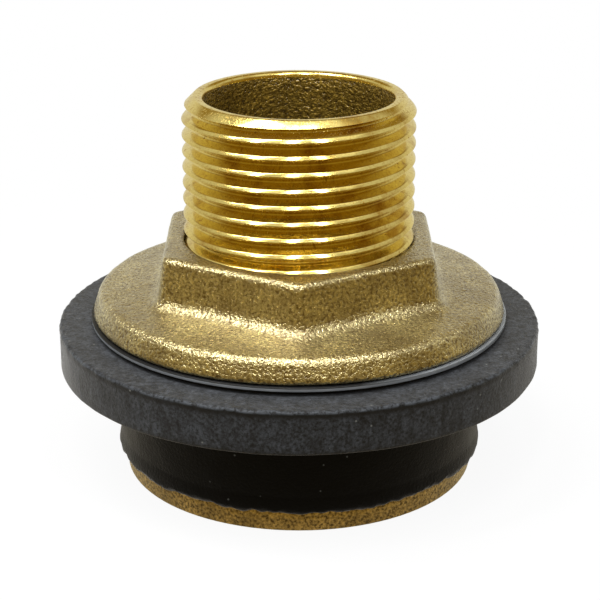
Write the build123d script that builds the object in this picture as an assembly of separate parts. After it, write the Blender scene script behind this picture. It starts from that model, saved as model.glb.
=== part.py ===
from build123d import *
import os
from math import ceil, cos, radians, tan

# Rubber-sealed toilet spud: a cast brass tube with a one inch parallel pipe thread. Its foot and a
# rubber plug go through the hole in the china, and a flanged hexagon nut pulls the plug tight.
# Millimetres. The origin is the centre of the foot's underside, and +Z runs up the waterway.

# Pipe thread, one inch nominal, with the proportions of its 55 degree form
thread_major = 33.249
thread_pitch = 2.309
thread_angle = 55.0
thread_depth_per_pitch = 0.6403
thread_flat_per_pitch = 1 / 6   # crest and root
thread_start = 17.68            # height at which the groove starts, on the +X side
cutter_overlap = 0.1            # how far a groove's cutter stands clear of the metal

# Spud body
tube_wall = 1.70                # metal left under the thread's root
body_height = 55.5
chamfer_below_root = 0.25       # how far the outer chamfer of the mouth cuts past the root
mouth_chamfer = 0.25            # inner edge of the mouth, across the rim
mouth_chamfer_height = 0.75     # and down the bore
foot_thickness = 3.2
foot_inset = 1.4                # foot stands this far inside the plug's lip
foot_edge_radius = 0.4
foot_bore_chamfer = 1.0         # lower edge of the bore
neck_fillet = 1.2               # between foot and tube

# Rubber gasket
plug_diameter = 53.4
plug_height = 12.7
lip_flare = 0.45                # the plug swells by this much above the foot
lip_height = 2.4
lip_edge_radius = 0.7
disc_thickness = 6.37
disc_margin = 4.8               # disc stands this far outside the nut's flange
disc_edge_radius = 0.5
disc_fillet = 1.0               # between plug and disc
seat_height = 0.63              # raised seat on the disc, under the friction ring
seat_inset = 1.0                # seat stands this far inside the ring
seat_edge_radius = 0.3
gasket_clearance = 0.25         # round the thread

# Friction ring
ring_thickness = 0.7
ring_margin = 0.1               # ring stands this far outside the nut's flange
ring_clearance = 0.5            # round the thread
ring_edge_radius = 0.2

# Lock nut
nut_height = 11.2
nut_wall = 2.5                  # metal outside the thread, at the top of a flat
nut_clearance = 0.25            # outside the body's crests
nut_flank_clearance = 0.1       # along the axis, on each flank
nut_tip_clearance = 0.4         # inside the nut's own crests
hex_draft = 6.0                 # degrees, the flats lean out towards the flange
hex_corner_radius = 1.5
hex_top_radius = 0.9
hex_base_fillet = 2.2
flange_width = 8.15             # from the hexagon's corners to the flange's edge
flange_rim_height = 3.45
flange_rim_draft = 20.0         # degrees, the rim leans in towards its top
flange_slope = 5.5              # degrees, the flange rises towards the hexagon
flange_edge_radius = 1.3
flange_foot_radius = 0.4

# Worked out from the above
thread_radius = thread_major / 2
thread_depth = thread_depth_per_pitch * thread_pitch
thread_flat = thread_flat_per_pitch * thread_pitch
root_radius = thread_radius - thread_depth
lead_chamfer = thread_depth + chamfer_below_root
bore_radius = root_radius - tube_wall
plug_radius = plug_diameter / 2
lip_radius = plug_radius + lip_flare
foot_radius = lip_radius - foot_inset
disc_bottom = foot_thickness + plug_height
disc_top = disc_bottom + disc_thickness
ring_bottom = disc_top + seat_height
nut_bottom = ring_bottom + ring_thickness
nut_top = nut_bottom + nut_height
hex_top_apothem = thread_radius + nut_wall
hex_corner_circle = hex_top_apothem / cos(radians(30))
flange_radius = hex_corner_circle + flange_width
flange_edge_height = nut_bottom + flange_rim_height
flange_top_radius = flange_radius - flange_rim_height * tan(radians(flange_rim_draft))
flange_apex_height = flange_edge_height + flange_top_radius * tan(radians(flange_slope))
disc_radius = flange_radius + disc_margin
ring_radius = flange_radius + ring_margin
seat_radius = ring_radius - seat_inset


def section(*points):
    """Half section of a turned piece, from points of radius and height."""
    return make_face(Polyline(*points, close=True))


def rounded(face, corner, radius):
    """The half section with the corner nearest to the given point rounded."""
    return fillet(face.vertices().sort_by_distance(corner)[0], radius)


def turned(face):
    """The half section turned about the waterway's axis."""
    return revolve(Plane.XZ * face, Axis.Z)


def groove_turn(root, mouth, root_width):
    """One turn of a helical groove that widens from its root radius to its mouth radius."""
    flank = abs(mouth - root) * tan(radians(thread_angle / 2))
    low, high = -root_width / 2, root_width / 2
    corners = [(root, low), (root, high), (mouth, high + flank), (mouth, low - flank)]
    coils = [Helix(thread_pitch, thread_pitch, radius, center=(0, 0, z)) for radius, z in corners]
    sides = [Face.make_surface_from_curves(a, b) for a, b in zip(coils, coils[1:] + coils[:1])]
    ends = [make_face(Polyline(*[coil @ end for coil in coils], close=True)).face() for end in (0, 1)]
    return Solid(Shell(sides + ends))


def threaded(blank, turn, start, top):
    """The blank with the groove cut turn by turn, from a starting height until it runs out past the top."""
    for number in range(ceil((top - start) / thread_pitch) + 1):
        blank = blank - Pos(0, 0, start + number * thread_pitch) * turn
    return blank


def make_spud_body():
    """Cast tube, threaded outside, with a flat round foot."""
    half = section(
        (bore_radius, foot_bore_chamfer),
        (bore_radius + foot_bore_chamfer, 0),
        (foot_radius, 0),
        (foot_radius, foot_thickness),
        (thread_radius, foot_thickness),
        (thread_radius, body_height - lead_chamfer),
        (thread_radius - lead_chamfer, body_height),
        (bore_radius + mouth_chamfer, body_height),
        (bore_radius, body_height - mouth_chamfer_height),
    )
    half = rounded(half, (foot_radius, 0), foot_edge_radius)
    half = rounded(half, (foot_radius, foot_thickness), foot_edge_radius)
    half = rounded(half, (thread_radius, foot_thickness), neck_fillet)
    turn = groove_turn(root_radius, thread_radius + cutter_overlap, thread_flat)
    return threaded(turned(half), turn, thread_start, body_height)


def make_rubber_gasket():
    """Moulded plug and disc in one piece, slipped over the thread down to the foot."""
    gasket_bore = thread_radius + gasket_clearance
    relief = neck_fillet + gasket_clearance
    half = section(
        (gasket_bore + relief, foot_thickness),
        (lip_radius, foot_thickness),
        (plug_radius, foot_thickness + lip_height),
        (plug_radius, disc_bottom),
        (disc_radius, disc_bottom),
        (disc_radius, disc_top),
        (seat_radius, disc_top),
        (seat_radius, ring_bottom),
        (gasket_bore, ring_bottom),
        (gasket_bore, foot_thickness + relief),
    )
    half = rounded(half, (lip_radius, foot_thickness), lip_edge_radius)
    half = rounded(half, (plug_radius, foot_thickness + lip_height), lip_height)
    half = rounded(half, (plug_radius, disc_bottom), disc_fillet)
    half = rounded(half, (disc_radius, disc_bottom), disc_edge_radius)
    half = rounded(half, (disc_radius, disc_top), disc_edge_radius)
    half = rounded(half, (seat_radius, ring_bottom), seat_edge_radius)
    return turned(half)


def make_friction_ring():
    """Thin stamped washer that lets the nut turn without dragging the rubber."""
    ring_bore = thread_radius + ring_clearance
    half = section(
        (ring_bore, ring_bottom),
        (ring_radius, ring_bottom),
        (ring_radius, nut_bottom),
        (ring_bore, nut_bottom),
    )
    half = rounded(half, (ring_radius, ring_bottom), ring_edge_radius)
    half = rounded(half, (ring_radius, nut_bottom), ring_edge_radius)
    return turned(half)


def make_lock_nut():
    """Cast hexagon nut with a sloped round flange under the hexagon."""
    half = section(
        (0, nut_bottom),
        (flange_radius, nut_bottom),
        (flange_top_radius, flange_edge_height),
        (0, flange_apex_height),
    )
    half = rounded(half, (flange_radius, nut_bottom), flange_foot_radius)
    half = rounded(half, (flange_top_radius, flange_edge_height), flange_edge_radius)
    flange = turned(half)

    flats = RegularPolygon(hex_top_apothem, 6, major_radius=False, rotation=30)
    flats = fillet(flats.vertices(), hex_corner_radius)
    hexagon = extrude(Pos(0, 0, nut_top) * flats, -nut_height, taper=-hex_draft)
    nut = flange + hexagon
    nut = fillet(new_edges(flange, hexagon, combined=nut), hex_base_fillet)
    nut = fillet(nut.faces().sort_by(Axis.Z)[-1].edges(), hex_top_radius)

    nut_root = thread_radius + nut_clearance
    nut_tip = root_radius + nut_tip_clearance
    lead_in = nut_root - nut_tip
    hole = section(
        (0, nut_bottom),
        (nut_root, nut_bottom),
        (nut_tip, nut_bottom + lead_in),
        (nut_tip, nut_top - lead_in),
        (nut_root, nut_top),
        (0, nut_top),
    )
    # The nut's groove runs on the crests of the body's thread, half a pitch above the body's groove.
    turns_below = ceil((nut_bottom - thread_start) / thread_pitch)
    start = thread_start + (turns_below - 1.5) * thread_pitch
    turn = groove_turn(nut_root, nut_tip - cutter_overlap, thread_flat + 2 * nut_flank_clearance)
    return threaded(nut - turned(hole), turn, start, nut_top)


os.makedirs("parts", exist_ok=True)
export_step(make_spud_body(), "parts/spud_body.step")
export_step(make_rubber_gasket(), "parts/rubber_gasket.step")
export_step(make_friction_ring(), "parts/friction_ring.step")
export_step(make_lock_nut(), "parts/lock_nut.step")
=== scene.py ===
"""Toilet spud: a threaded brass body, its rubber gasket, a friction ring and a flanged lock nut."""

from math import cos, pi, radians, sin, tan

import bmesh
import bpy
from mathutils import Matrix, Vector, noise


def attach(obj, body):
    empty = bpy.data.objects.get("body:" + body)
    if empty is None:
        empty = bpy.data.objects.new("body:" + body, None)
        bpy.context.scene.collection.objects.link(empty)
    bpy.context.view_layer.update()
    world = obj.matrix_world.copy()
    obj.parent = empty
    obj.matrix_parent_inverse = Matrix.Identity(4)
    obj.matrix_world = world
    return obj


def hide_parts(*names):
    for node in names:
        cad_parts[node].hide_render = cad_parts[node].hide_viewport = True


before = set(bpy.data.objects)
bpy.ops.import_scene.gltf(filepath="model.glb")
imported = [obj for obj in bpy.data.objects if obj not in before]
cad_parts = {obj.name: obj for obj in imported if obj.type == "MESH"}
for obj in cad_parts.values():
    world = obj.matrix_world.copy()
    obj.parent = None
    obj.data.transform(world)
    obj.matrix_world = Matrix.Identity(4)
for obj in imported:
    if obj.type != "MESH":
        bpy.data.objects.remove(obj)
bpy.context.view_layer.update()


# Spud body. A brass tube cast in one piece with its flat round foot, then turned and threaded on a
# lathe with a one inch parallel pipe thread. The foot and the bore keep the skin of the sand mould.
# It stands on its foot, and the other pieces are slipped and screwed over its thread.

mm = 0.001
same_point = 0.001 * mm               # points closer than this count as one
body_height = 55.5 * mm
thread_radius = 16.6245 * mm
thread_pitch = 2.309 * mm
crest_width = thread_pitch / 6
crest_wear = 0.32 * mm                # depth of the slant that nuts have worn on the crest's upper side
wear_lean = radians(38)
wear_rounding = 0.45 * mm
crest_break = 0.06 * mm               # edges of the flat that is left on the crest
root_rounding = 0.317 * mm
half_angle = radians(27.5)            # of the thread's form
first_crest = 16.5255 * mm            # lowest crest on the +X side
thread_turns = 18
thread_steps = 96                     # facets in a turn
thread_bottom = 19.0 * mm             # inside the gasket
mouth_radius = 14.896 * mm            # where the lead chamfer meets the mouth's land
mouth_break = 0.1 * mm
mouth_rounding = 0.45 * mm            # inner edge of the land, worn by pipe ends
mouth_bevel = 0.25 * mm               # below that edge, cut deeper than wide
mouth_bevel_height = 0.75 * mm
bore_radius = 13.446 * mm
bore_bevel = 1.0 * mm                 # lower edge of the bore
bore_rings = 24                       # facets along the bore
bore_skin = 0.05 * mm                 # metal this near to the bore's wall has the cast skin
foot_radius = 25.75 * mm
foot_thickness = 3.2 * mm
foot_rounding = 0.4 * mm
neck_rounding = 1.2 * mm

brass_gold = "#E4D07D"
brass_amber = "#B69241"
foot_light = "#EED396"
foot_dark = "#3F2B08"
bore_light = "#AC903C"
bore_dark = "#4A370F"
stain_size = 5                        # marks on the turned brass, in millimetres
nick_size = 0.9
scuff_size = 0.35
tool_marks = (6, 6, 0.22)             # long round the axis, narrow along it
tool_mark_depth = 0.0008 * mm
handled_from = body_height - 2.2 * mm
handled_full = body_height - 1.6 * mm
cast_cloud = 6                        # patches of lighter and darker cast skin, in millimetres


def section_wire(bm, points):
    """Vertices in the XZ plane at the given radii and heights, joined by edges in that order."""
    corners = [bm.verts.new((radius, 0, height)) for radius, height in points]
    for a, b in zip(corners, corners[1:]):
        bm.edges.new((a, b))
    return corners


def tangent_length(vert, radius):
    """How far from a wire's corner an arc of that radius starts."""
    a, b = (edge.other_vert(vert).co - vert.co for edge in vert.link_edges)
    return radius / tan(a.angle(b) / 2)


def round_corner(bm, vert, radius, segments):
    """A wire's corner made an arc."""
    bmesh.ops.bevel(bm, geom=[vert], offset=tangent_length(vert, radius), offset_type="OFFSET",
                    affect="VERTICES", segments=segments, profile=0.5, material=-1)


def drawn_out(bm, rim, radius, height):
    """An open rim extruded to a circle of that radius and height. Gives the new rim."""
    made = bmesh.ops.extrude_edge_only(bm, edges=rim)["geom"]
    verts = {v for v in made if isinstance(v, bmesh.types.BMVert)}
    for v in verts:
        v.co.xy = v.co.xy.normalized() * radius
        v.co.z = height
    return [e for e in made if isinstance(e, bmesh.types.BMEdge) and verts.issuperset(e.verts)]


def broken_edge(bm, edges, width, segments):
    """A sharp edge rounded off."""
    bmesh.ops.bevel(bm, geom=edges, offset=width, offset_type="OFFSET", affect="EDGES",
                    segments=segments, profile=0.5, material=-1)


def finished(name, bm, materials, sharp_angle):
    """The bmesh made an object of that name, shaded smooth except at its sharp edges."""
    bmesh.ops.remove_doubles(bm, verts=bm.verts, dist=same_point / 2)
    bmesh.ops.recalc_face_normals(bm, faces=bm.faces)
    mesh = bpy.data.meshes.new(name)
    bm.to_mesh(mesh)
    bm.free()
    mesh.polygons.foreach_set("use_smooth", [True] * len(mesh.polygons))
    mesh.set_sharp_from_angle(angle=sharp_angle)
    for material in materials:
        mesh.materials.append(material)
    made = bpy.data.objects.new(name, mesh)
    bpy.context.scene.collection.objects.link(made)
    return made


def srgb(code):
    """A colour written as sRGB hex, as linear red, green, blue and alpha."""
    channels = [int(code[i:i + 2], 16) / 255 for i in (1, 3, 5)]
    return [c / 12.92 if c <= 0.04045 else ((c + 0.055) / 1.055) ** 2.4 for c in channels] + [1]


def add(tree, kind, inputs, **settings):
    """A shader node with its settings. An input takes a value, or the socket that feeds it."""
    made = tree.nodes.new("ShaderNode" + kind)
    for name, value in settings.items():
        setattr(made, name, value)
    for key, value in inputs.items():
        if isinstance(value, bpy.types.NodeSocket):
            tree.links.new(value, made.inputs[key])
        else:
            made.inputs[key].default_value = value
    return made


def ramp(tree, value, low, high, start=0, end=1, **settings):
    """Runs from start to end while the value runs from low to high, and stays there beyond them."""
    return add(tree, "MapRange", {0: value, 1: low, 2: high, 3: start, 4: end}, **settings).outputs[0]


def worked(tree, operation, *values):
    """The result of one operation on values or sockets."""
    return add(tree, "Math", dict(enumerate(values)), operation=operation).outputs[0]


def blended(tree, share, first, second):
    """Two colours mixed, with the given share of the second."""
    return add(tree, "Mix", {0: share, 6: first, 7: second}, data_type="RGBA").outputs[2]


def per_mm(size):
    """Scale of a pattern whose patches are that many millimetres across."""
    return 1 / (size * mm)


def patches(tree, place, size, detail, roughness=0.5):
    """Noise in patches that many millimetres across."""
    return add(tree, "TexNoise", {
        "Vector": place, "Scale": per_mm(size), "Detail": detail, "Roughness": roughness}).outputs[0]


def streaks(tree, place, sizes, detail, roughness=0.5):
    """Noise in patches of different sizes along the three axes, in millimetres."""
    scaled = add(tree, "Mapping", {"Vector": place, "Scale": [per_mm(size) for size in sizes]})
    return add(tree, "TexNoise", {
        "Vector": scaled.outputs[0], "Scale": 1, "Detail": detail, "Roughness": roughness}).outputs[0]


def raised(tree, pattern, depth):
    """The relief that a pattern gives a surface, of that depth from its lowest to its highest."""
    return add(tree, "Bump", {"Strength": 1, "Distance": depth, "Height": pattern}).outputs[0]


def new_material(name):
    """An empty material, with its node tree and the object's coordinates."""
    made = bpy.data.materials.new(name)
    made.use_nodes = True
    made.node_tree.nodes.clear()
    place = add(made.node_tree, "TexCoord", {})
    return made, made.node_tree, place.outputs["Object"]


def surfaced(tree, inputs):
    """A principled surface with those inputs as the material's output."""
    shader = add(tree, "BsdfPrincipled", inputs)
    add(tree, "OutputMaterial", {"Surface": shader.outputs[0]})


# Turned brass: bright gold with a soft gloss. The tool leaves rings round the axis, drawn coarser than
# they are so that they show. Handling leaves warm stains, dull nicks and scuffs, most of all at the mouth.
turned_brass, tree, place = new_material("turned_brass")
stained = ramp(tree, patches(tree, place, stain_size, detail=3), 0.52, 0.76)
nicked = ramp(tree, patches(tree, place, nick_size, detail=4, roughness=0.65), 0.62, 0.7)
scuffed = ramp(tree, patches(tree, place, scuff_size, detail=3, roughness=0.7), 0.5, 0.7)
blotched = worked(tree, "MAXIMUM", stained, nicked)
marked = worked(tree, "MULTIPLY_ADD", scuffed, 0.6, blotched)
rings = streaks(tree, place, tool_marks, detail=2)
gloss = ramp(tree, rings, 0.3, 0.7, start=0.1, end=0.18)
height = add(tree, "SeparateXYZ", {0: place}).outputs[2]
handled = ramp(tree, height, handled_from, handled_full, start=0.1, end=0.35)
worn = worked(tree, "MULTIPLY_ADD", scuffed, handled, gloss)
surfaced(tree, {
    "Base Color": blended(tree, marked, srgb(brass_gold), srgb(brass_amber)),
    "Metallic": 1,
    "Roughness": worked(tree, "MULTIPLY_ADD", nicked, 0.3, worn),
    "Normal": raised(tree, rings, tool_mark_depth)})


def cast_surface(name, light, dark, grain, depth, roughness):
    """Sand-cast brass: the sand's grain stands in the skin, so that it glitters and never shines. A thin
    film on it whitens the glints. The grain is drawn coarser than real sand, so that it shows."""
    made, tree, place = new_material(name)
    sand = patches(tree, place, grain, detail=2, roughness=0.6)
    cloud = patches(tree, place, cast_cloud, detail=3)
    rubbed = ramp(tree, sand, 0.32, 0.66, end=1.5)
    toned = worked(tree, "MULTIPLY_ADD", rubbed, cloud, 0.05)
    relief = raised(tree, sand, depth)
    surfaced(tree, {
        "Base Color": blended(tree, toned, srgb(dark), srgb(light)),
        "Metallic": 0.9,
        "Roughness": ramp(tree, sand, 0.3, 0.7, start=roughness + 0.12, end=roughness - 0.1),
        "Normal": relief,
        "Coat Weight": 1,
        "Coat Roughness": 0.15,
        "Coat Normal": relief})
    return made


foot_brass = cast_surface("sand_cast_foot", foot_light, foot_dark,
                          grain=0.4, depth=0.22 * mm, roughness=0.4)
bore_brass = cast_surface("sand_cast_bore", bore_light, bore_dark,
                          grain=0.5, depth=0.34 * mm, roughness=0.58)

# One turn of the thread is a rounded tooth, spun while it climbs. The turns are stacked and merged.
bm = bmesh.new()
flank_height = (thread_pitch - crest_width) / 2
groove_tip = thread_radius - flank_height / tan(half_angle)
flank_middle = (thread_radius + groove_tip) / 2
wear_top = first_crest + crest_width / 2 + crest_wear * tan(half_angle)
_, crest_low, crest_high, slant_end, root, _ = section_wire(bm, [
    (flank_middle, first_crest - (crest_width + flank_height) / 2),
    (thread_radius, first_crest - crest_width / 2),
    (thread_radius, wear_top - crest_wear / tan(wear_lean)),
    (thread_radius - crest_wear, wear_top),
    (groove_tip, first_crest + thread_pitch / 2),
    (flank_middle, first_crest + thread_pitch - (crest_width + flank_height) / 2)])
round_corner(bm, crest_low, crest_break, segments=3)
round_corner(bm, crest_high, crest_break, segments=3)
round_corner(bm, slant_end, wear_rounding, segments=5)
round_corner(bm, root, root_rounding, segments=6)
flanks = [e for e in bm.edges if e.calc_length() > 2 * crest_width]
bmesh.ops.subdivide_edges(bm, edges=flanks, cuts=3)
bmesh.ops.spin(bm, geom=bm.verts[:] + bm.edges[:], axis=(0, 0, 1), angle=2 * pi, steps=thread_steps,
               dvec=(0, 0, thread_pitch / thread_steps))
one_turn = bm.verts[:] + bm.edges[:] + bm.faces[:]
for number in range(1, thread_turns):
    copied = bmesh.ops.duplicate(bm, geom=one_turn)["geom"]
    bmesh.ops.translate(bm, verts=[v for v in copied if isinstance(v, bmesh.types.BMVert)],
                        vec=(0, 0, number * thread_pitch))
bmesh.ops.remove_doubles(bm, verts=bm.verts, dist=same_point)

# The lead chamfer is a 45 degree cone. Leaned by its radius it is a level plane, in which the thread is
# cut and closed down to the mouth's circle. Where the cone runs out of a groove, that leaves the last
# crest as a widening flat.
lead_plane = body_height + mouth_radius
for v in bm.verts:
    v.co.z += v.co.xy.length
cut = bmesh.ops.bisect_plane(bm, geom=bm.verts[:] + bm.edges[:] + bm.faces[:], dist=same_point,
                             plane_co=(0, 0, lead_plane), plane_no=(0, 0, 1), clear_outer=True)
circle = bmesh.ops.create_circle(bm, segments=thread_steps, radius=mouth_radius,
                                 matrix=Matrix.Translation((0, 0, lead_plane)))["verts"]
mouth = list({e for v in circle for e in v.link_edges})
bmesh.ops.triangle_fill(bm, use_beauty=True, edges=mouth + [
    e for e in cut["geom_cut"] if isinstance(e, bmesh.types.BMEdge)])
for v in bm.verts:
    v.co.z -= v.co.xy.length
bmesh.ops.bisect_plane(bm, geom=bm.verts[:] + bm.edges[:] + bm.faces[:], dist=same_point,
                       plane_co=(0, 0, thread_bottom), plane_no=(0, 0, -1), clear_outer=True)
lower_rim = [e for e in bm.edges if e.is_boundary and e.verts[0].co.z < body_height / 2]

# From the chamfer the metal runs over the mouth, down the bore, round the foot and up to the thread.
land = drawn_out(bm, mouth, bore_radius + mouth_bevel, body_height)
bore_top = body_height - mouth_bevel_height
rim = land
for step in range(bore_rings + 1):
    rim = drawn_out(bm, rim, bore_radius, bore_top + (bore_bevel - bore_top) * step / bore_rings)
rim = drawn_out(bm, rim, bore_radius + bore_bevel, 0)
foot_low = drawn_out(bm, rim, foot_radius, 0)
foot_high = drawn_out(bm, foot_low, foot_radius, foot_thickness)
neck = drawn_out(bm, foot_high, thread_radius, foot_thickness)
shank = drawn_out(bm, neck, thread_radius, thread_bottom - thread_pitch)
bmesh.ops.bridge_loops(bm, edges=shank + lower_rim)
bmesh.ops.recalc_face_normals(bm, faces=bm.faces)
broken_edge(bm, mouth, mouth_break, segments=2)
broken_edge(bm, land, mouth_rounding, segments=5)
broken_edge(bm, foot_low + foot_high, foot_rounding, segments=5)
broken_edge(bm, [e for e in bm.edges if all(
    abs(v.co.z - foot_thickness) < same_point and abs(v.co.xy.length - thread_radius) < same_point
    for v in e.verts)], neck_rounding, segments=5)
for face in bm.faces:
    middle = face.calc_center_median()
    if middle.z < foot_thickness:
        face.material_index = 1
    elif middle.xy.length < bore_radius + bore_skin and middle.z < bore_top:
        face.material_index = 2
body = finished("spud_body_turned", bm, [turned_brass, foot_brass, bore_brass], sharp_angle=radians(32))
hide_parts("spud_body")
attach(body, "spud")


# Rubber gasket. One moulding of black rubber: a plug that fills the hole in the china and a disc that
# seals on it. It is slipped over the thread and sits on the foot, and its lower lip is trimmed by hand.

gasket_clearance = 0.25 * mm          # round the thread
gasket_bore = thread_radius + gasket_clearance
gasket_relief = neck_rounding + gasket_clearance
plug_radius = 26.7 * mm
plug_height = 12.7 * mm
plug_fillet = 1.0 * mm                # between plug and disc
lip_flare = 0.45 * mm
lip_radius = plug_radius + lip_flare
lip_height = 2.4 * mm
lip_rounding = 0.7 * mm
disc_radius = 35.03 * mm
disc_thickness = 6.37 * mm
disc_bottom = foot_thickness + plug_height
disc_top = disc_bottom + disc_thickness
disc_rounding = 0.5 * mm
seat_radius = 29.33 * mm              # raised seat for the friction ring
seat_height = 0.63 * mm
seat_top = disc_top + seat_height
seat_rounding = 0.3 * mm
gasket_steps = 384                    # facets in a turn
gasket_facet = 0.8 * mm               # longest facet across its section
true_radius = plug_radius - 2 * mm    # further in, the rubber runs true
ragged_lip = 1.2 * mm                 # height of the lip that the knife left ragged
ragged_edge = 0.7 * mm                # width of the worn band at the disc's upper edge
swell = (0.16 * mm, 14 * mm, 3)       # height, width and seed of each kind of wave in the rubber
ripple = (0.05 * mm, 3 * mm, 7)
lip_wave = (0.3 * mm, 6 * mm, 11)
lip_nick = (0.45 * mm, 1.3 * mm, 13)
edge_nick = (0.16 * mm, 1.3 * mm, 17)
edge_notch = (0.16 * mm, 1.3 * mm, 19)

rubber_black = "#080808"
rubber_dust = "#45484D"
rubber_worn = "#44484D"
rubber_speck = "#84857F"
dust_streaks = (1.6, 1.6, 4)          # patterns on the rubber, in millimetres
rubber_grain = 0.45
rubber_grain_depth = 0.08 * mm
speck_spacing = 2.5
edge_shade_wander = 1.5 * mm              # how far the painted shade line under the top edge wanders up and down
pale_wander = 1.6 * mm                # how far the pale edge wanders in and out
pale_edge = (disc_radius + 0.55 * mm, disc_radius + 0.85 * mm)
pale_top = (disc_top - disc_rounding, disc_top - 0.2 * mm)

# Moulded rubber: black and dull. Talc and handling grey the disc in a fine mottle, most of all where it
# faces up. Its upper edge is scuffed pale and ragged, over a dark line of painted shade where the dust is
# left off. The plug stays black, with a soft bloom at its sides, and a few specks of dust lie on all of it.
moulded_rubber, tree, place = new_material("moulded_rubber")
facing = add(tree, "SeparateXYZ", {0: add(tree, "NewGeometry", {}).outputs["Normal"]}).outputs
parts = add(tree, "SeparateXYZ", {0: place}).outputs
level = add(tree, "CombineXYZ", {0: parts[0], 1: parts[1]})
distance = add(tree, "VectorMath", {0: level.outputs[0]}, operation="LENGTH").outputs["Value"]
cloud = streaks(tree, place, dust_streaks, detail=6, roughness=0.75)
grain = patches(tree, place, rubber_grain, detail=3, roughness=0.7)
mottled = ramp(tree, grain, 0.35, 0.65, start=0.2, end=1.8)
dusty = ramp(tree, cloud, 0.35, 0.65, start=0.2)
# Painted shade: just under the disc's top edge, a ragged line is left without dust so that it shows dark.
ragged = worked(tree, "MULTIPLY_ADD", cloud, edge_shade_wander, parts[2])
side_dust_and_edge_shade = ramp(tree, ragged, disc_top - disc_rounding, disc_top, start=0.72, end=0.05)
upward = ramp(tree, facing[2], 0, 1, start=side_dust_and_edge_shade, end=0.66)
on_disc = ramp(tree, parts[2], disc_bottom - disc_rounding, disc_bottom + disc_rounding)
settled = worked(tree, "MULTIPLY", upward, on_disc)
film = worked(tree, "MULTIPLY", dusty, settled)
dusted = worked(tree, "MULTIPLY", film, mottled)
toned = blended(tree, dusted, srgb(rubber_black), srgb(rubber_dust))
rough_edge = worked(tree, "MULTIPLY_ADD", grain, pale_wander, distance)
at_edge = ramp(tree, rough_edge, *pale_edge)
at_top = ramp(tree, parts[2], *pale_top)
scuffed = worked(tree, "MULTIPLY", at_edge, at_top)
torn = blended(tree, scuffed, toned, srgb(rubber_worn))
motes = add(tree, "TexVoronoi", {"Vector": place, "Scale": per_mm(speck_spacing)})
specks = ramp(tree, motes.outputs["Distance"], 0.04, 0.07, start=0.6, end=0)
surfaced(tree, {
    "Base Color": blended(tree, specks, torn, srgb(rubber_speck)),
    "Roughness": ramp(tree, on_disc, 0, 1, start=0.36, end=0.58),
    "Specular IOR Level": ramp(tree, on_disc, 0, 1, start=0.07, end=0.25),
    "Sheen Weight": ramp(tree, on_disc, 0, 1, start=0.95, end=0.34),
    "Sheen Roughness": 0.4,
    "Normal": raised(tree, grain, rubber_grain_depth)})


def spun(bm, steps):
    """A closed section turned once round the axis."""
    bmesh.ops.spin(bm, geom=bm.verts[:] + bm.edges[:], axis=(0, 0, 1), angle=2 * pi, steps=steps,
                   use_merge=True)


def wave(point, height, size, seed):
    """How far a point stands out on smooth random waves of that height and width."""
    return height * noise.noise(Vector(point) / size + Vector((seed, 0, 0)))


bm = bmesh.new()
gasket_section = [                    # radius, height and rounding of each corner
    (gasket_bore + gasket_relief, foot_thickness, 0),
    (lip_radius, foot_thickness, lip_rounding),
    (plug_radius, foot_thickness + lip_height, lip_height),
    (plug_radius, disc_bottom, plug_fillet),
    (disc_radius, disc_bottom, disc_rounding),
    (disc_radius, disc_top, disc_rounding),
    (seat_radius, disc_top, 0),
    (seat_radius, seat_top, seat_rounding),
    (gasket_bore, seat_top, 0),
    (gasket_bore, foot_thickness + gasket_relief, 0)]
corners = section_wire(bm, [(radius, height) for radius, height, _ in gasket_section])
bm.edges.new((corners[-1], corners[0]))
for corner, (_, _, rounding) in zip(corners, gasket_section):
    if rounding:
        round_corner(bm, corner, rounding, segments=5)
for edge in bm.edges[:]:
    cuts = int(edge.calc_length() / gasket_facet)
    if cuts:
        bmesh.ops.subdivide_edges(bm, edges=[edge], cuts=cuts)
spun(bm, gasket_steps)
for v in bm.verts:
    out = v.co.xy.length
    if out > true_radius and v.co.z < disc_top + 10 * same_point:
        way = v.co.xy.normalized()
        v.co.xy += way * (wave(v.co, *swell) + wave(v.co, *ripple))
        if v.co.z < foot_thickness + ragged_lip:
            v.co.z += wave(v.co, *lip_wave) + wave(v.co, *lip_nick)
        if out > disc_radius - ragged_edge and v.co.z > disc_top - ragged_edge:
            v.co.z += wave(v.co, *edge_nick)
            v.co.xy += way * wave(v.co, *edge_notch)
gasket = finished("rubber_gasket_moulded", bm, [moulded_rubber], sharp_angle=radians(40))
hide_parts("rubber_gasket")
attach(gasket, "spud")


# Friction ring. A thin washer stamped from zinc-plated steel sheet, which lies loose between the rubber
# and the nut, so that the nut slides on it and doesn't twist the rubber.

ring_clearance = 0.5 * mm             # round the thread
ring_bore = thread_radius + ring_clearance
ring_margin = 1.0 * mm                # beyond the rubber's seat
ring_radius = seat_radius + ring_margin
ring_thickness = 0.7 * mm
ring_bottom = seat_top
ring_top = ring_bottom + ring_thickness
ring_rounding = 0.12 * mm
ring_gap = 0.04 * mm                  # its faces don't lie quite flat

zinc_grey = "#A6ACB2"
zinc_dull = "#7A7F85"
# Painted shade under the nut's rim: its colour, the heights where it fades in, and where it ends.
ring_painted_shade = "#141517"
zinc_cloud = 2.5                      # patches of duller plate, in millimetres
shade_bottom = ring_top - 0.28 * mm
shade_full = ring_top - 0.16 * mm
shade_end = (8 * mm, 20 * mm)         # on the +X side, which is lit, no shade is painted
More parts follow.
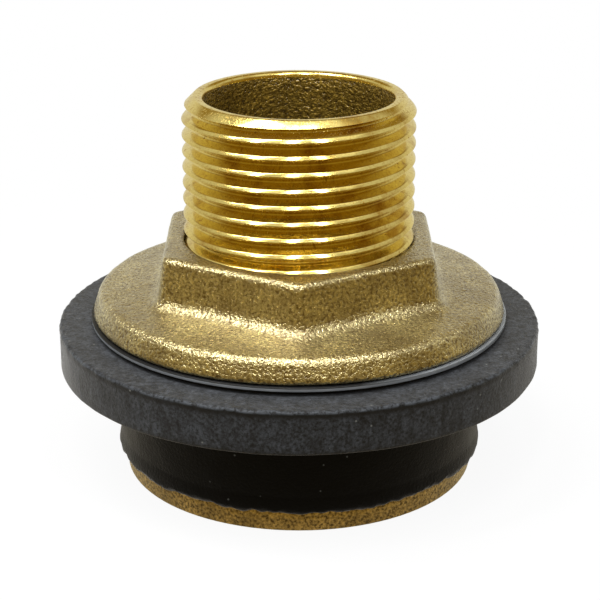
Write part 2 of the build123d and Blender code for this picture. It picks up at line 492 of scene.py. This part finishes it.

# Zinc plate: a cool grey metal, half dull, with a crystalline cloud of a few millimetres. Painted shade in
# the gap under the nut blackens the top of its edge, except on the lit right side.
zinc_plate, tree, place = new_material("zinc_plated_steel")
cloud = patches(tree, place, zinc_cloud, detail=4)
plate = blended(tree, cloud, srgb(zinc_dull), srgb(zinc_grey))
parts = add(tree, "SeparateXYZ", {0: place}).outputs
# Painted shade: the top of the ring's edge, in the gap under the nut, is darkened in colour, except on the
# right.
in_gap = ramp(tree, parts[2], shade_bottom, shade_full)
shaded_side = ramp(tree, parts[0], *shade_end, start=1, end=0)
shade_share = worked(tree, "MULTIPLY", in_gap, shaded_side)
surfaced(tree, {
    "Base Color": blended(tree, shade_share, plate, srgb(ring_painted_shade)),
    "Metallic": 0.4,
    "Roughness": ramp(tree, cloud, 0.3, 0.7, start=0.45, end=0.6)})

bm = bmesh.new()
corners = section_wire(bm, [
    (ring_bore, ring_bottom + ring_gap),
    (ring_radius, ring_bottom + ring_gap),
    (ring_radius, ring_top - ring_gap),
    (ring_bore, ring_top - ring_gap)])
bm.edges.new((corners[-1], corners[0]))
for corner in corners:
    round_corner(bm, corner, ring_rounding, segments=4)
spun(bm, gasket_steps)
ring = finished("friction_ring_stamped", bm, [zinc_plate], sharp_angle=radians(40))
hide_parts("friction_ring")
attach(ring, "ring")


# Lock nut. A sand-cast brass hexagon nut with a sloped round flange, tapped to screw down the body's
# thread. Only its thread is machined: the hexagon and the flange keep the mould's skin and soft edges.

nut_height = 11.2 * mm
nut_bottom = ring_top
nut_top = nut_bottom + nut_height
nut_lead = 1.4 * mm                   # countersink of its hole, left as cast
nut_tapped_radius = thread_radius + 0.4 * mm
nut_skin_radius = 18.2 * mm           # the cast lumps start outside this
nut_flat_height = 0.3 * mm            # and above the flat underside
nut_voxel = 0.32 * mm
nut_smoothings = 4                    # they soften its edges as a sand mould does
cast_lump = (0.05 * mm, 3.5 * mm, 21)
cast_pimple = (0.03 * mm, 1.1 * mm, 23)

cast_light = "#E7D99D"
cast_dark = "#5C430E"
cast_brass = cast_surface("sand_cast_brass", cast_light, cast_dark,
                          grain=0.4, depth=0.19 * mm, roughness=0.31)

bm = bmesh.new()
bm.from_mesh(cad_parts["lock_nut"].data)
bmesh.ops.remove_doubles(bm, verts=bm.verts, dist=same_point)
blank_mesh = bpy.data.meshes.new("nut_blank")
bm.to_mesh(blank_mesh)
bm.free()
blank = bpy.data.objects.new("nut_blank", blank_mesh)
bpy.context.scene.collection.objects.link(blank)
remesh = blank.modifiers.new("even_skin", "REMESH")
remesh.mode = "VOXEL"
remesh.voxel_size = nut_voxel
skin = bpy.data.meshes.new_from_object(blank.evaluated_get(bpy.context.evaluated_depsgraph_get()))
bpy.data.objects.remove(blank)

bm = bmesh.new()
bm.from_mesh(skin)
for _ in range(nut_smoothings):
    bmesh.ops.smooth_vert(bm, verts=bm.verts, factor=0.5, use_axis_x=True, use_axis_y=True,
                          use_axis_z=True)
bm.normal_update()
for v in bm.verts:
    if v.co.xy.length > nut_skin_radius and v.co.z > nut_bottom + nut_flat_height:
        v.co += v.normal * (wave(v.co, *cast_lump) + wave(v.co, *cast_pimple))
for face in bm.faces:
    middle = face.calc_center_median()
    if middle.xy.length < nut_tapped_radius and middle.z < nut_top - nut_lead:
        face.material_index = 1
nut = finished("lock_nut_cast", bm, [cast_brass, turned_brass], sharp_angle=radians(60))
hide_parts("lock_nut")
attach(nut, "nut")


# Floor. A plain pale table top under the foot, which shows white and keeps a faint shadow. The metal
# mirrors it as a part of the room: warm and dim at the front, pale at the back.

floor_size = 1.2
floor_shade = "#EDEDEB"
floor_bounce = "#7C7871"              # the light that it throws back up
floor_glow = 0.93                     # share of plain white that hides most of the shadow
floor_fade = (0.06, 0.16)             # distances over which it turns plain white
floor_turn = (-0.04, 0.06)            # where its mirrored front turns into its back
front_shade = "#987D32"
back_shade = "#E8E4D2"

pale_floor, tree, place = new_material("pale_floor")
rays = add(tree, "LightPath", {}).outputs
matte = add(tree, "BsdfDiffuse", {"Color": srgb(floor_shade)}).outputs[0]
bounce = add(tree, "BsdfDiffuse", {"Color": srgb(floor_bounce)}).outputs[0]
white = add(tree, "Emission", {"Color": (1, 1, 1, 1), "Strength": 1}).outputs[0]
reach = add(tree, "VectorMath", {0: place}, operation="LENGTH").outputs["Value"]
glow = ramp(tree, reach, *floor_fade, start=floor_glow)
seen = add(tree, "MixShader", {0: glow, 1: matte, 2: white}).outputs[0]
along = add(tree, "SeparateXYZ", {0: place}).outputs[1]
shown = blended(tree, ramp(tree, along, *floor_turn), srgb(front_shade), srgb(back_shade))
mirrored = add(tree, "Emission", {"Color": shown, "Strength": 1}).outputs[0]
glossy = worked(tree, "MAXIMUM", rays["Is Glossy Ray"], rays["Is Transmission Ray"])
unseen = add(tree, "MixShader", {0: glossy, 1: bounce, 2: mirrored}).outputs[0]
surface = add(tree, "MixShader", {0: rays["Is Camera Ray"], 1: unseen, 2: seen}).outputs[0]
add(tree, "OutputMaterial", {"Surface": surface})

bm = bmesh.new()
bmesh.ops.create_grid(bm, x_segments=1, y_segments=1, size=floor_size / 2)
floor_mesh = bpy.data.meshes.new("floor")
bm.to_mesh(floor_mesh)
bm.free()
floor_mesh.materials.append(pale_floor)
floor = bpy.data.objects.new("floor", floor_mesh)
bpy.context.scene.collection.objects.link(floor)


# Light. A white room, in which the metal mirrors a low pale wall behind, a bright ceiling ahead and a dim
# warm shade elsewhere. Four strip lamps stand high round the left and front, and a soft box hangs overhead.

room_for_matte = 0.6                  # share of the room's light that matte surfaces get
room_shade = "#B4B6B8"
ceiling_shade = "#D9D6CE"
wall_sides = (0, 0.85)                # where the wall behind fades in, from the sides to the back
wall_top = (0.35, 0.5)                # and out again, from low to high
ceiling_front = (0, 0.3)              # where the ceiling ahead fades out towards the back
ceiling_spread = -0.5                 # it reaches further back at the sides
ceiling_low = (0.3, 0.6)              # where it fades in, from low to high
ceiling_slope = 0.3                   # it starts higher at the front
lamp_distance = 0.6
lamp_width = 0.065
lamp_length = 0.36
lamp_power = 1.3
lamp_rise = radians(61)
lamp_turns = (-86, -55, -10, 27)      # degrees round from the camera
box_place = (0, -0.13, 0.64)
box_width = 1.0
box_depth = 0.3
box_power = 0.45

world = bpy.data.worlds.new("white_room")
bpy.context.scene.world = world
world.use_nodes = True
tree = world.node_tree
tree.nodes.clear()
rays = add(tree, "LightPath", {}).outputs
ways = add(tree, "SeparateXYZ", {0: add(tree, "TexCoord", {}).outputs["Generated"]}).outputs
behind = ramp(tree, ways[1], *wall_sides, interpolation_type="SMOOTHSTEP")
low = ramp(tree, ways[2], *wall_top, start=1, end=0, interpolation_type="SMOOTHSTEP")
wall = worked(tree, "MULTIPLY", behind, low)
walls = blended(tree, wall, srgb(front_shade), srgb(back_shade))
aside = worked(tree, "ABSOLUTE", ways[0])
nearer = worked(tree, "MULTIPLY_ADD", aside, ceiling_spread, ways[1])
ahead = ramp(tree, nearer, *ceiling_front, start=1, end=0, interpolation_type="SMOOTHSTEP")
slant = worked(tree, "MULTIPLY_ADD", ways[1], ceiling_slope, ways[2])
high = ramp(tree, slant, *ceiling_low, interpolation_type="SMOOTHSTEP")
ceiling = worked(tree, "MULTIPLY", ahead, high)
shown = blended(tree, ceiling, walls, srgb(ceiling_shade))
glossy = worked(tree, "MAXIMUM", rays["Is Glossy Ray"], rays["Is Transmission Ray"])
share = ramp(tree, glossy, 0, 1, start=room_for_matte)
strength = worked(tree, "MAXIMUM", share, rays["Is Camera Ray"])
mirrored = blended(tree, glossy, srgb(room_shade), shown)
plain = blended(tree, rays["Is Camera Ray"], mirrored, (1, 1, 1, 1))
room = add(tree, "Background", {"Color": plain, "Strength": strength})
add(tree, "OutputWorld", {"Surface": room.outputs[0]})


def hang_lamp(name, place, target, width, length, power):
    """A lamp at a place, facing a target, its length in the upright plane through both."""
    data = bpy.data.lights.new(name, "AREA")
    data.shape = "RECTANGLE"
    data.size = width
    data.size_y = length
    data.energy = power
    made = bpy.data.objects.new(name, data)
    made.location = place
    made.rotation_euler = (Vector(target) - Vector(place)).to_track_quat("-Z", "Y").to_euler()
    bpy.context.scene.collection.objects.link(made)


target = (0, 0, body_height / 2)
for number, turn in enumerate(lamp_turns):
    angle = radians(turn)
    lamp_place = (
        lamp_distance * cos(lamp_rise) * sin(angle),
        -lamp_distance * cos(lamp_rise) * cos(angle),
        target[2] + lamp_distance * sin(lamp_rise))
    hang_lamp(f"lamp_{number}", lamp_place, target, lamp_width, lamp_length, lamp_power)
hang_lamp("soft_box", box_place, target, box_width, box_depth, box_power)


# Camera. A long lens in front of the spud and a little above it. It looks down, so that the mouth and the
# top of the nut show as well as the sides.

camera_lens = 103.52
camera_sensor = 36
camera_place = (0.16 * mm, -237.55 * mm, 113.88 * mm)
camera_dip = 20.62                    # degrees below level

camera_data = bpy.data.cameras.new("camera")
camera_data.sensor_width = camera_sensor
camera_data.sensor_fit = "HORIZONTAL"
camera_data.lens = camera_lens
camera = bpy.data.objects.new("camera", camera_data)
camera.location = camera_place
camera.rotation_euler = (radians(90 - camera_dip), 0, 0)
bpy.context.scene.collection.objects.link(camera)
bpy.context.scene.camera = camera
bpy.context.scene.view_settings.view_transform = "Standard"
